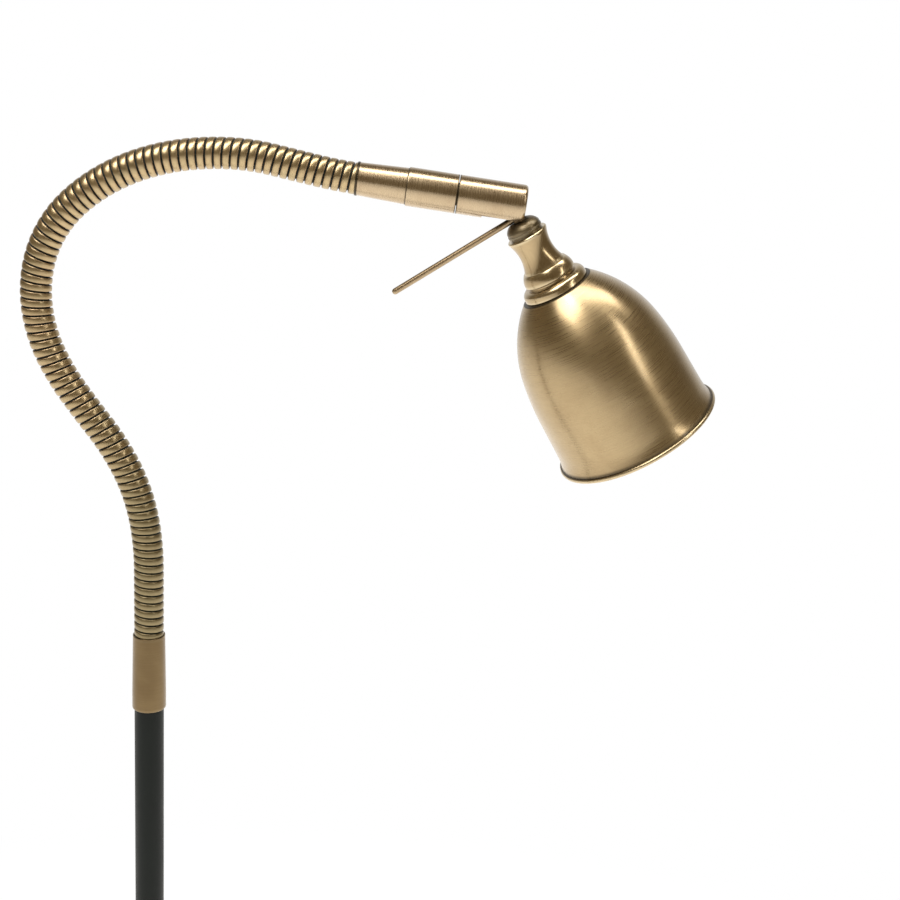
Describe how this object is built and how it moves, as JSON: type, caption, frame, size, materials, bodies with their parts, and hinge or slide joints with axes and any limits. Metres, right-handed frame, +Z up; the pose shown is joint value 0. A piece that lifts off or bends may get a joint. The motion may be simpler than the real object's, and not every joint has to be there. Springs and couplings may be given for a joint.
{
  "type": "gooseneck reading floor lamp",
  "caption": "Slim floor lamp: round weighted base, straight black pole, ribbed brass gooseneck, and a swivelling barrel that carries a tilting bell shade with an aiming rod.",
  "frame": {"origin": "on the floor, on the pole's axis, at the underside of the base pad", "axes": "+Z up along the pole, the neck bends and the head reaches out towards +X, +Y across"},
  "size_m": [0.3761, 0.23, 1.623],
  "materials": {
    "antique_brass": "brushed antique brass, clear lacquered",
    "shade_brass": "spun and brushed antique brass",
    "dark_brass": "darkened cast brass",
    "black_enamel": "satin black stove enamel",
    "cast_iron": "raw casting",
    "felt": "felt pad",
    "black_rubber": "moulded rubber",
    "zinc_steel": "zinc plated",
    "lead_sheath": "flex sheath",
    "bush_plastic": "acetal",
    "porcelain": "white steatite ceramic",
    "lamp_reflector": "white lamp housing",
    "lamp_glass": "frosted lamp front"
  },
  "bodies": {
    "stand": {"floor_pad": "felt", "base_weight": "cast_iron", "base_cover": "black_enamel", "cord_grommet": "black_rubber", "base_washer": "zinc_steel", "base_nut": "zinc_steel", "foot_nipple": "zinc_steel", "foot_turning": "black_enamel", "pole_foot_insert": "zinc_steel", "pole": "black_enamel", "neck_socket": "zinc_steel", "neck_sleeve": "antique_brass", "inner_lead": "lead_sheath", "neck_link_01": "antique_brass"},
    "neck_02": {"neck_link_02": "antique_brass"},
    "neck_03": {"neck_link_03": "antique_brass"},
    "neck_04": {"neck_link_04": "antique_brass"},
    "neck_05": {"neck_link_05": "antique_brass"},
    "neck_06": {"neck_link_06": "antique_brass"},
    "neck_07": {"neck_link_07": "antique_brass"},
    "neck_08": {"neck_link_08": "antique_brass"},
    "neck_09": {"neck_link_09": "antique_brass"},
    "neck_10": {"neck_link_10": "antique_brass"},
    "neck_11": {"neck_link_11": "antique_brass"},
    "neck_12": {"neck_link_12": "antique_brass"},
    "neck_13": {"neck_link_13": "antique_brass"},
    "neck_14": {"neck_link_14": "antique_brass"},
    "neck_15": {"neck_link_15": "antique_brass"},
    "neck_16": {"neck_link_16": "antique_brass"},
    "neck_17": {"neck_link_17": "antique_brass"},
    "neck_18": {"neck_link_18": "antique_brass"},
    "arm": {"neck_link_19": "antique_brass", "upper_ferrule": "antique_brass", "ferrule_nut": "zinc_steel", "barrel_rear": "antique_brass", "swivel_bush": "bush_plastic"},
    "swivel": {"barrel_front": "antique_brass", "swivel_shaft": "zinc_steel", "shaft_washer": "zinc_steel", "shaft_nut": "zinc_steel", "knuckle_cradle": "zinc_steel", "pivot_pin": "zinc_steel", "friction_washers": "bush_plastic"},
    "head": {"tilt_knuckle": "dark_brass", "aiming_rod": "antique_brass", "swivel_cup": "dark_brass", "neck_turning": "antique_brass", "neck_ring": "antique_brass", "shade_cap": "antique_brass", "shade": "shade_brass", "head_nipple": "zinc_steel", "holder_nut": "zinc_steel", "holder_strap": "zinc_steel", "lampholder": "porcelain", "holder_screws": "zinc_steel", "holder_leads": "lead_sheath", "lamp_body": "lamp_reflector", "lamp_lens": "lamp_glass"}
  },
  "joints": [
    {"name": "lower_bend_01", "type": "hinge", "parent": "stand", "child": "neck_02", "pos_m": [0, 0, 1.40128], "axis": [0, 1, 0], "range_deg": [-8, 6]},
    {"name": "lower_bend_02", "type": "hinge", "parent": "neck_02", "child": "neck_03", "pos_m": [0, 0, 1.42011], "axis": [0, 1, 0], "range_deg": [-8, 6]},
    {"name": "side_bend_03", "type": "hinge", "parent": "neck_03", "child": "neck_04", "pos_m": [-0.00115, 0, 1.43889], "axis": [0.9925, 0, 0.1219], "range_deg": [-8, 8]},
    {"name": "lower_bend_04", "type": "hinge", "parent": "neck_04", "child": "neck_05", "pos_m": [-0.00514, 0, 1.45727], "axis": [0, 1, 0], "range_deg": [-8, 6]},
    {"name": "lower_bend_05", "type": "hinge", "parent": "neck_05", "child": "neck_06", "pos_m": [-0.01263, 0, 1.4745], "axis": [0, 1, 0], "range_deg": [-8, 6]},
    {"name": "side_bend_06", "type": "hinge", "parent": "neck_06", "child": "neck_07", "pos_m": [-0.02309, 0, 1.49015], "axis": [0.788, 0, 0.6157], "range_deg": [-8, 8]},
    {"name": "lower_bend_07", "type": "hinge", "parent": "neck_07", "child": "neck_08", "pos_m": [-0.03442, 0, 1.50518], "axis": [0, 1, 0], "range_deg": [-8, 6]},
    {"name": "lower_bend_08", "type": "hinge", "parent": "neck_08", "child": "neck_09", "pos_m": [-0.04403, 0, 1.52134], "axis": [0, 1, 0], "range_deg": [-8, 6]},
    {"name": "side_bend_09", "type": "hinge", "parent": "neck_09", "child": "neck_10", "pos_m": [-0.04967, 0, 1.53924], "axis": [0.9863, 0, 0.165], "range_deg": [-8, 8]},
    {"name": "upper_bend_10", "type": "hinge", "parent": "neck_10", "child": "neck_11", "pos_m": [-0.04992, 0, 1.558], "axis": [0, 1, 0], "range_deg": [-10, 4]},
    {"name": "upper_bend_11", "type": "hinge", "parent": "neck_11", "child": "neck_12", "pos_m": [-0.04421, 0, 1.57585], "axis": [0, 1, 0], "range_deg": [-10, 4]},
    {"name": "side_bend_12", "type": "hinge", "parent": "neck_12", "child": "neck_13", "pos_m": [-0.03293, 0, 1.59082], "axis": [0.6884, 0, -0.7254], "range_deg": [-8, 8]},
    {"name": "upper_bend_13", "type": "hinge", "parent": "neck_13", "child": "neck_14", "pos_m": [-0.01792, 0, 1.60213], "axis": [0, 1, 0], "range_deg": [-10, 4]},
    {"name": "upper_bend_14", "type": "hinge", "parent": "neck_14", "child": "neck_15", "pos_m": [-0.00085, 0, 1.61], "axis": [0, 1, 0], "range_deg": [-10, 4]},
    {"name": "side_bend_15", "type": "hinge", "parent": "neck_15", "child": "neck_16", "pos_m": [0.0174, 0, 1.61454], "axis": [0.1564, 0, -0.9877], "range_deg": [-8, 8]},
    {"name": "upper_bend_16", "type": "hinge", "parent": "neck_16", "child": "neck_17", "pos_m": [0.03615, 0, 1.61602], "axis": [0, 1, 0], "range_deg": [-10, 4]},
    {"name": "upper_bend_17", "type": "hinge", "parent": "neck_17", "child": "neck_18", "pos_m": [0.05488, 0, 1.6143], "axis": [0, 1, 0], "range_deg": [-10, 4]},
    {"name": "side_bend_18", "type": "hinge", "parent": "neck_18", "child": "arm", "pos_m": [0.07339, 0, 1.61087], "axis": [-0.1822, 0, -0.9833], "range_deg": [-8, 8]},
    {"name": "head_swivel", "type": "hinge", "parent": "arm", "child": "swivel", "pos_m": [0.13603, 0, 1.60401], "axis": [0.9954, 0, -0.0958], "range_deg": [-170, 170]},
    {"name": "head_tilt", "type": "hinge", "parent": "swivel", "child": "head", "pos_m": [0.15892, 0, 1.60181], "axis": [0.014, 0.9893, 0.1454], "range_deg": [-50, 25]}
  ],
  "couplings": [
    {"joint": "lower_bend_02", "follows": "lower_bend_01", "ratio": 1},
    {"joint": "lower_bend_04", "follows": "lower_bend_01", "ratio": 1},
    {"joint": "lower_bend_05", "follows": "lower_bend_01", "ratio": 1},
    {"joint": "side_bend_06", "follows": "side_bend_03", "ratio": 1},
    {"joint": "lower_bend_07", "follows": "lower_bend_01", "ratio": 1},
    {"joint": "lower_bend_08", "follows": "lower_bend_01", "ratio": 1},
    {"joint": "side_bend_09", "follows": "side_bend_03", "ratio": 1},
    {"joint": "upper_bend_11", "follows": "upper_bend_10", "ratio": 1},
    {"joint": "side_bend_12", "follows": "side_bend_03", "ratio": 1},
    {"joint": "upper_bend_13", "follows": "upper_bend_10", "ratio": 1},
    {"joint": "upper_bend_14", "follows": "upper_bend_10", "ratio": 1},
    {"joint": "side_bend_15", "follows": "side_bend_03", "ratio": 1},
    {"joint": "upper_bend_16", "follows": "upper_bend_10", "ratio": 1},
    {"joint": "upper_bend_17", "follows": "upper_bend_10", "ratio": 1},
    {"joint": "side_bend_18", "follows": "side_bend_03", "ratio": 1}
  ]
}
